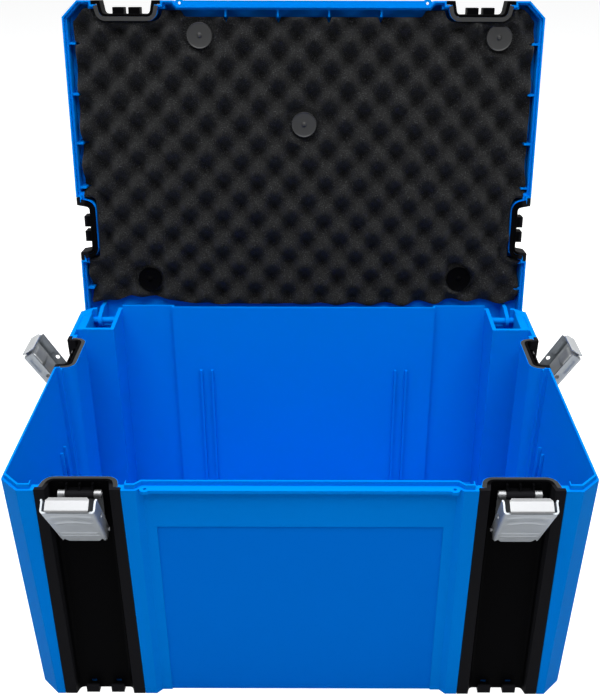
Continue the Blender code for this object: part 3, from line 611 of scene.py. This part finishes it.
# %% A helper that sets a copy of a master
def set_copy(master, name, place, finish):
    """A copy of a master with its own mesh and finish, and its place applied to that mesh."""
    bpy.ops.object.select_all(action="DESELECT")
    piece = master.copy()
    piece.data = master.data.copy()
    piece.name = name
    bpy.context.scene.collection.objects.link(piece)
    piece.matrix_world = place
    piece.select_set(True)
    bpy.context.view_layer.objects.active = piece
    bpy.ops.object.transform_apply(location=True, rotation=True, scale=True)
    bpy.ops.object.shade_smooth_by_angle(angle=math.radians(38.0))
    piece.data.materials.append(finish)
    return piece


# %% Set the buttons in the lid
for number, (x, y) in enumerate(BUTTONS, 1):
    seat = Matrix.Translation(Vector((x, y, FOAM_SEAT - BUTTON_SUNK)) * MM)
    place = seat @ Matrix.Rotation(math.pi, 4, "X")
    # the rear buttons take the darker black as painted shade for their pits
    finish = sheen_black if y < 0 else black_plastic
    button = set_copy(button_master, f"rimmed_button_{number}", open_lid @ place, finish)
    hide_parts(f"foam_button_{number}")
    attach(button, "lid")
bpy.data.objects.remove(button_master)
print("buttons set at", BUTTONS)

# %% [markdown]
# ## The draw latches
# Each latch is a lever folded from one strip of zinc-plated sheet, with a hook plate inside it. A
# folded sheet is easiest to shape the way it is made: a flat grid stands for the blank, its points are
# carried round the bends, the pressed marks are pushed out, and Solidify gives the sheet its thickness.
# One latch is modelled about its own pin, with the lever along Z, and four copies are set in the rails.


# %% A helper that shapes a blank of sheet
def press_sheet(name, columns, rows, carry, sheet):
    """A grid carried point by point, u and v from -1 to 1, to its place in mm, and thickened."""
    bpy.ops.object.select_all(action="DESELECT")
    bpy.ops.mesh.primitive_grid_add(x_subdivisions=columns, y_subdivisions=rows, size=2.0)
    blank = bpy.context.object
    blank.name = name
    bpy.ops.object.mode_set(mode="EDIT")
    shape = bmesh.from_edit_mesh(blank.data)
    for vert in shape.verts:
        vert.co = Vector(carry(vert.co.x, vert.co.y)) * MM
    bmesh.update_edit_mesh(blank.data)
    bpy.ops.object.mode_set(mode="OBJECT")
    wall = blank.modifiers.new("sheet", "SOLIDIFY")
    wall.thickness = sheet * MM
    wall.offset = -1.0
    wall.use_even_offset = True
    bpy.ops.object.modifier_apply(modifier=wall.name)
    return blank


# %% A helper that drills a hole
def drill_across(obj, y, z, radius, reach):
    """Bores a round hole through a piece along X, by a Boolean with a cylinder."""
    bpy.ops.object.select_all(action="DESELECT")
    bpy.ops.mesh.primitive_cylinder_add(
        vertices=28,
        radius=radius * MM,
        depth=2 * reach * MM,
        location=(0.0, y * MM, z * MM),
        rotation=(0.0, math.pi / 2, 0.0),
    )
    bit = bpy.context.object
    bpy.ops.object.transform_apply(location=True, rotation=True, scale=True)
    hole = obj.modifiers.new("hole", "BOOLEAN")
    hole.operation = "DIFFERENCE"
    hole.solver = "EXACT"
    hole.object = bit
    bpy.context.view_layer.objects.active = obj
    bpy.ops.object.modifier_apply(modifier=hole.name)
    bpy.data.objects.remove(bit)


# %% The lever's sizes and its pressed marks
LEVER_REACH, LEVER_TAIL = 52.0, 3.4
LEVER_TOP_HALF, LEVER_TAIL_HALF = 17.4, 15.6
LEVER_FACE, LEVER_EDGE, SHEET, FOLD = 7.4, -2.1, 1.2, 2.2
LEVER_PIN_R, HOLE_R, HOLE_E, HOLE_N, DRILL_REACH = 1.38, 1.9, 29.0, 0.6, 20.0
BEAD_HEIGHT, SLOT_DEPTH, EDGE_BEAD, TAIL_LIFT = 0.5, 0.55, 0.45, 2.4
print("lever", LEVER_REACH + LEVER_TAIL, "mm long")


def pressed_bead(e, top, rise, fall):
    """A bead that stands up quickly below its top line and dies away slowly."""
    return ramp(e, top, top - rise) * (1.0 - ramp(e, top - rise, top - rise - fall))


def face_marks(x, e):
    """How far the lever's face is pushed out: two arched beads and two straight ones."""
    upper = pressed_bead(e, 48.5 - 3.0 * (x / 15.0) ** 2, 1.8, 9.5) * (1.0 - ramp(abs(x), 12.6, 14.6))
    lower = pressed_bead(e, 37.0 - 4.2 * (x / 13.0) ** 2, 1.8, 3.6) * (1.0 - ramp(abs(x), 10.6, 12.2))
    low = pressed_bead(e, 15.2, 1.6, 2.8) + 0.8 * pressed_bead(e, 9.6, 1.6, 3.0)
    return BEAD_HEIGHT * (upper + lower + low * (1.0 - ramp(abs(x), 11.6, 13.2)))


def flange_slot(e, n):
    """1 inside the long slot-shaped recess of a flange, 0 outside it."""
    away = math.hypot(e - max(35.5, min(46.5, e)), n - 2.2)
    return 1.0 - ramp(away, 1.0, 1.9)


# %% Fold one lever
def lever_point(u, v):
    """Carries a point of the flat blank to the folded lever: across, outwards as -Y, and along Z."""
    share = (v + 1) / 2
    e = -LEVER_TAIL + share * (LEVER_REACH + LEVER_TAIL)
    half = LEVER_TAIL_HALF + (LEVER_TOP_HALF - LEVER_TAIL_HALF) * share
    edge = LEVER_EDGE + TAIL_LIFT * ramp(-e, 1.2, LEVER_TAIL)
    flat, arc, flange = half - FOLD, FOLD * math.pi / 2, LEVER_FACE - edge - FOLD
    side = -1.0 if u < 0 else 1.0
    s = abs(u) * (flat + arc + flange)
    # the tail's edge steps up towards the sides, with a notch before the fold
    low = 2.0 * ramp(s, 10.0, 11.6)
    low += 2.2 * ramp(s, 11.4, 12.0) * (1.0 - ramp(s, 13.0, 13.8))
    low -= 1.0 * ramp(s, 13.0, 14.4)
    e += low * max(0.0, 1.0 - (e + LEVER_TAIL) / 7.0)
    if s <= flat:
        return (side * s, -LEVER_FACE - face_marks(s, e), e)
    if s <= flat + arc:
        angle = (s - flat) / FOLD
        x = flat + FOLD * math.sin(angle)
        return (side * x, -(LEVER_FACE - FOLD + FOLD * math.cos(angle)), e)
    n = LEVER_FACE - FOLD - (s - flat - arc)
    x = half - SLOT_DEPTH * flange_slot(e, n) + EDGE_BEAD * (1.0 - ramp(n, edge + 0.9, edge + 1.7))
    return (side * x, -n, e)


lever_master = press_sheet("lever_master", 64, 70, lever_point, SHEET)
drill_across(lever_master, 0.0, 0.0, LEVER_PIN_R, DRILL_REACH)
drill_across(lever_master, -HOLE_N, HOLE_E, HOLE_R, DRILL_REACH)
print("lever faces", len(lever_master.data.polygons))

# %% Fold one hook plate
HOOK_HALF, HOOK_START, HOOK_END = 13.7, 20.0, 55.2
HOOK_OUT, HOOK_STEP, HOOK_TURN, HOOK_BEND = 5.9, 1.5, 0.2, 0.9
HOOK_LIP, LIP_LEAN = 2.9, math.radians(22.0)
PAN_START, PAN_DEEP, PAN_SHALLOW = 34.4, 1.7, 0.7


def hook_point(u, v):
    """Carries a point of the blank up the hook's plate, over the lever's end and down the lip."""
    face = HOOK_OUT + HOOK_STEP
    plate = HOOK_END - HOOK_START - HOOK_BEND
    arc = HOOK_BEND * math.pi / 2
    end = face - HOOK_BEND - HOOK_TURN
    s = (v + 1) / 2 * (plate + arc + end + HOOK_LIP)
    x = u * HOOK_HALF
    if s <= plate:
        e = HOOK_START + s
        rise = PAN_DEEP * (1.0 - ramp(abs(x), 6.2, 8.6))
        rise += PAN_SHALLOW * (1.0 - ramp(abs(x), 10.4, 11.6))
        rise *= ramp(e, PAN_START + 0.1 * abs(x), PAN_START + 2.8 + 0.1 * abs(x))
        rise *= 1.0 - ramp(e, HOOK_END - 9.0, HOOK_END - 4.5)
        return (x, rise - HOOK_OUT - HOOK_STEP * ramp(e, LEVER_REACH + 1.0, LEVER_REACH + 2.2), e)
    if s <= plate + arc:
        angle = (s - plate) / HOOK_BEND
        out = face - HOOK_BEND + HOOK_BEND * math.cos(angle)
        return (x, -out, HOOK_END - HOOK_BEND + HOOK_BEND * math.sin(angle))
    along = s - plate - arc
    n = face - HOOK_BEND - along
    if along <= end:
        return (x, -n, HOOK_END)
    past = along - end
    narrow = 1.0 - 0.11 * ramp(past, 0.6, HOOK_LIP)
    return (x * narrow, -(HOOK_TURN - past * math.cos(LIP_LEAN)), HOOK_END - past * math.sin(LIP_LEAN))


hook_master = press_sheet("hook_master", 40, 84, hook_point, SHEET)
print("hook faces", len(hook_master.data.polygons))

# %% [markdown]
# The four latches stand in the two front rails and the two side rails. Each copy of a master gets its
# own mesh, is turned to its station and to the angle at which the open lever rests, and has that place
# applied to its mesh.

# %% The stations of the latches
CASE_HALF, CASE_FRONT = 198.0, 139.0
STATIONS = {  # place, facing in degrees, and how far the lever stands open
    "front_left": ((-145.2, -CASE_FRONT, 0.0), 0.0, 33.5),
    "front_right": ((145.2, -CASE_FRONT, 0.0), 0.0, 33.5),
    "left": ((-CASE_HALF, 50.9, 0.0), -90.0, 32.0),
    "right": ((CASE_HALF, 50.9, 0.0), 90.0, 32.0),
}
LEVER_PIN_Y, LEVER_PIN_Z = 7.6, 151.0
print("stations", list(STATIONS))


def station_place(station):
    """Carries what is modelled about the origin, facing the front, to one station."""
    origin, facing, _ = STATIONS[station]
    return Matrix.Translation(Vector(origin) * MM) @ Matrix.Rotation(math.radians(facing), 4, "Z")


def latch_place(station):
    """Carries the master latch, which stands about its own pin, to one station."""
    opened = STATIONS[station][2]
    pin = Matrix.Translation(Vector((0.0, LEVER_PIN_Y, LEVER_PIN_Z)) * MM)
    return station_place(station) @ pin @ Matrix.Rotation(math.radians(opened), 4, "X")


# %% Set the latches in the rails
for station in STATIONS:
    place = latch_place(station)
    lever = set_copy(lever_master, f"pressed_lever_{station}", place, dull_zinc)
    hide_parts(f"latch_lever_{station}")
    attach(lever, f"lever_{station}")
    finish = zinc_steel if "front" in station else pale_zinc
    hook = set_copy(hook_master, f"pressed_hook_{station}", place, finish)
    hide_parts(f"latch_hook_{station}")
    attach(hook, f"lever_{station}")
for master in (lever_master, hook_master):
    bpy.data.objects.remove(master)
print("latches set in", list(STATIONS))

# %% [markdown]
# ## Black rims round the bays
# The rails and the lid's connectors end in a thin black rim that lies over the blue wall of their bay.
# A rim is a narrow strip that follows the bay's plan, so a grid is carried along that path, as the
# latches' sheet was, and is given its small thickness.

# %% The path of a bay's wall
BAY_FLOOR, BAY_FLAT, BAY_ARC_R, BAY_ARC_Y = 12.9, 17.19, 5.3, 7.6
BAY_SIDE = math.atan2(2.0, 9.6)
BAY_ARC = BAY_ARC_R * (math.pi / 2 - BAY_SIDE)
BAY_STRAIGHT = 5.2
BAY_LENGTH = BAY_FLAT + BAY_ARC + BAY_STRAIGHT
print("path", round(2 * BAY_LENGTH, 1), "mm long")


def bay_point(u, offset):
    """A point of the bay's plan: u runs along it from -1 to 1, offset goes out from the channel."""
    side = -1.0 if u < 0 else 1.0
    s = abs(u) * BAY_LENGTH
    if s <= BAY_FLAT:
        return (side * s, BAY_FLOOR + offset)
    turn = math.pi / 2 - min(s - BAY_FLAT, BAY_ARC) / BAY_ARC_R
    x = BAY_FLAT + (BAY_ARC_R + offset) * math.cos(turn)
    y = BAY_ARC_Y + (BAY_ARC_R + offset) * math.sin(turn)
    past = max(0.0, s - BAY_FLAT - BAY_ARC)
    return (side * (x + past * math.sin(BAY_SIDE)), y - past * math.cos(BAY_SIDE))


# %% Shape one rim for the rails and one for the connectors
RIM_THICK, RIM_NEAR = 0.15, -0.25
RAIL_RIM_FAR, RAIL_RIM_TOP = 2.8, 188.17
LID_RIM_FAR, LID_RIM_TOP = 3.1, 188.37


def shape_rim(name, far, height):
    """A strip that lies over the bay's wall, out to an offset and at a height."""
    def carry(u, v):
        return (*bay_point(u, RIM_NEAR + (v + 1) / 2 * (far - RIM_NEAR)), height)

    return press_sheet(name, 48, 2, carry, RIM_THICK)


rail_rim_master = shape_rim("rail_rim_master", RAIL_RIM_FAR, RAIL_RIM_TOP)
lid_rim_master = shape_rim("lid_rim_master", LID_RIM_FAR, LID_RIM_TOP)
print("rim faces", len(rail_rim_master.data.polygons))

# %% Lay the rims on the case and on the lid
for station in STATIONS:
    place = station_place(station)
    rail_rim = set_copy(rail_rim_master, f"rail_rim_{station}", place, sheen_black)
    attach(rail_rim, "case")
    finish = sheen_black if "front" in station else black_plastic
    lid_rim = set_copy(lid_rim_master, f"connector_rim_{station}", open_lid @ place, finish)
    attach(lid_rim, "lid")
for master in (rail_rim_master, lid_rim_master):
    bpy.data.objects.remove(master)
print("rims laid at", list(STATIONS))

# %% [markdown]
# ## The shoulders beside the hinge wells
# Beside each hinge the case's top is a closed shoulder between the outer wall and the well. One block
# with softened edges is shaped about its own middle, and a copy is set beside each well.

# %% Shape one shoulder
SHOULDER_LOW, SHOULDER_HIGH = Vector((187.7, 95.9, 141.0)), Vector((194.9, 127.0, 187.85))
bpy.ops.object.select_all(action="DESELECT")
bpy.ops.mesh.primitive_cube_add(size=1.0)
shoulder_master = bpy.context.object
shoulder_master.scale = (SHOULDER_HIGH - SHOULDER_LOW) * MM
bpy.ops.object.transform_apply(location=True, rotation=True, scale=True)
soften(shoulder_master, 0.8, 3)
print("shoulder faces", len(shoulder_master.data.polygons))

# %% Set a shoulder beside each hinge well
middle = (SHOULDER_LOW + SHOULDER_HIGH) / 2 * MM
for name, side in (("left", -1.0), ("right", 1.0)):
    place = Matrix.Translation((side * middle.x, middle.y, middle.z))
    shoulder = set_copy(shoulder_master, f"hinge_shoulder_{name}", place, blue_plastic)
    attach(shoulder, "case")
bpy.data.objects.remove(shoulder_master)
print("shoulders set beside both wells")

# %% [markdown]
# ## The upper ends of the side ribs
# Each side wall carries a pair of thin ribs like those on the back wall. Their upper ends stand on the
# CAD's ribs. One bar is shaped about its own middle, leaning as the wall does, and four copies are set.

# %% Shape one rib end
RIB_LOW, RIB_TOP, RIB_WIDTH, RIB_PROUD, RIB_GAP = 96.05, 127.0, 2.0, 2.6, 0.05
RIB_MIDDLES = {"front": -6.0, "rear": 4.0}
CASE_RIM, CASE_DRAFT, CASE_WALL = 188.0, 4.4, 3.2


def wall_face(z):
    """How far the inner face of a side wall lies from the middle, at a height."""
    return CASE_HALF - CASE_DRAFT * (1.0 - z / CASE_RIM) - CASE_WALL


lean = (wall_face(RIB_TOP) - wall_face(RIB_LOW)) / 2
bpy.ops.object.select_all(action="DESELECT")
bpy.ops.mesh.primitive_cube_add(size=1.0)
rib_master = bpy.context.object
rib_master.scale = Vector((RIB_PROUD - RIB_GAP, RIB_WIDTH, RIB_TOP - RIB_LOW)) * MM
bpy.ops.object.transform_apply(location=True, rotation=True, scale=True)
bpy.ops.object.mode_set(mode="EDIT")
shape = bmesh.from_edit_mesh(rib_master.data)
for vert in shape.verts:
    vert.co.x += math.copysign(lean * MM, vert.co.z)
bmesh.update_edit_mesh(rib_master.data)
bpy.ops.object.mode_set(mode="OBJECT")
soften(rib_master, 0.35, 2)
print("rib faces", len(rib_master.data.polygons))

# %% Set the rib ends on both side walls
rib_height = (RIB_LOW + RIB_TOP) / 2
rib_out = wall_face(rib_height) - (RIB_PROUD + RIB_GAP) / 2
for side, out, facing in (("left", -rib_out, math.pi), ("right", rib_out, 0.0)):
    for row, y in RIB_MIDDLES.items():
        spot = Matrix.Translation(Vector((out, y, rib_height)) * MM)
        place = spot @ Matrix.Rotation(facing, 4, "Z")
        rib = set_copy(rib_master, f"side_rib_{side}_{row}", place, blue_plastic)
        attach(rib, "case")
bpy.data.objects.remove(rib_master)
print("rib ends set on both side walls")
